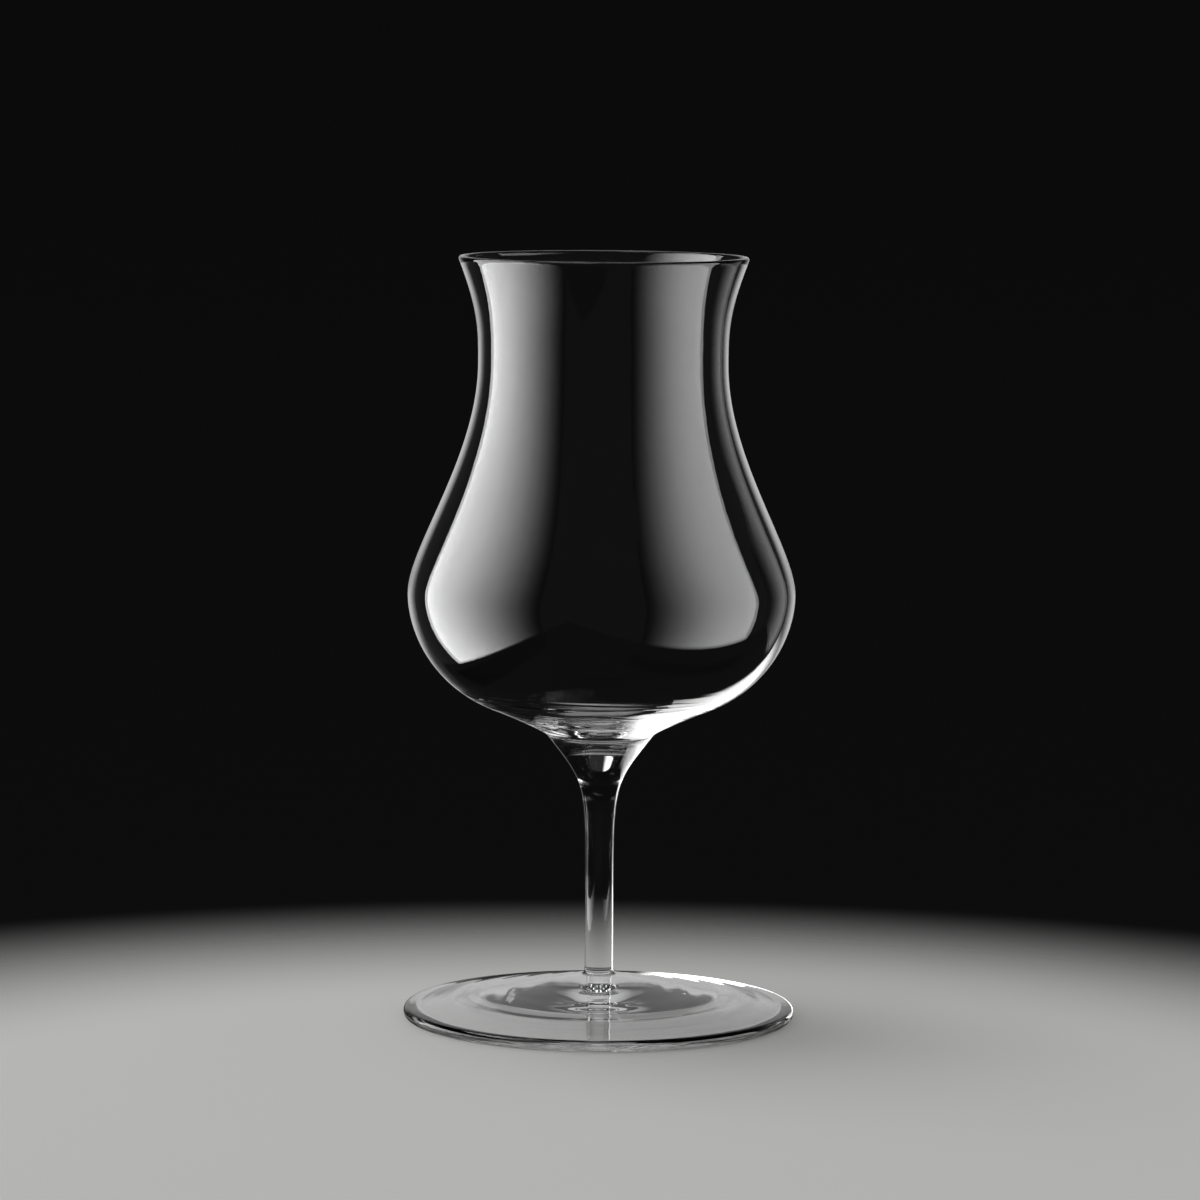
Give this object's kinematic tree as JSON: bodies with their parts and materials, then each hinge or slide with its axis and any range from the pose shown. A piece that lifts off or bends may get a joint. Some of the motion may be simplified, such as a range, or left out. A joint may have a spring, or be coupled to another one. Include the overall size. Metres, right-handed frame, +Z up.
{
  "type": "stemmed whisky glass",
  "caption": "Clear blown whisky glass: waisted tulip bowl with a flared lip, slim stem with a flared head, and a conical foot.",
  "frame": {"origin": "centre of the resting ring under the foot", "axes": "+Z up along the axis of the glass, from the foot to the lip"},
  "size_m": [0.0812, 0.0812, 0.158],
  "materials": {
    "clear_glass": "fire-polished clear glass"
  },
  "bodies": {
    "root": {"bowl": "clear_glass", "stem": "clear_glass", "foot": "clear_glass"}
  },
  "joints": []
}
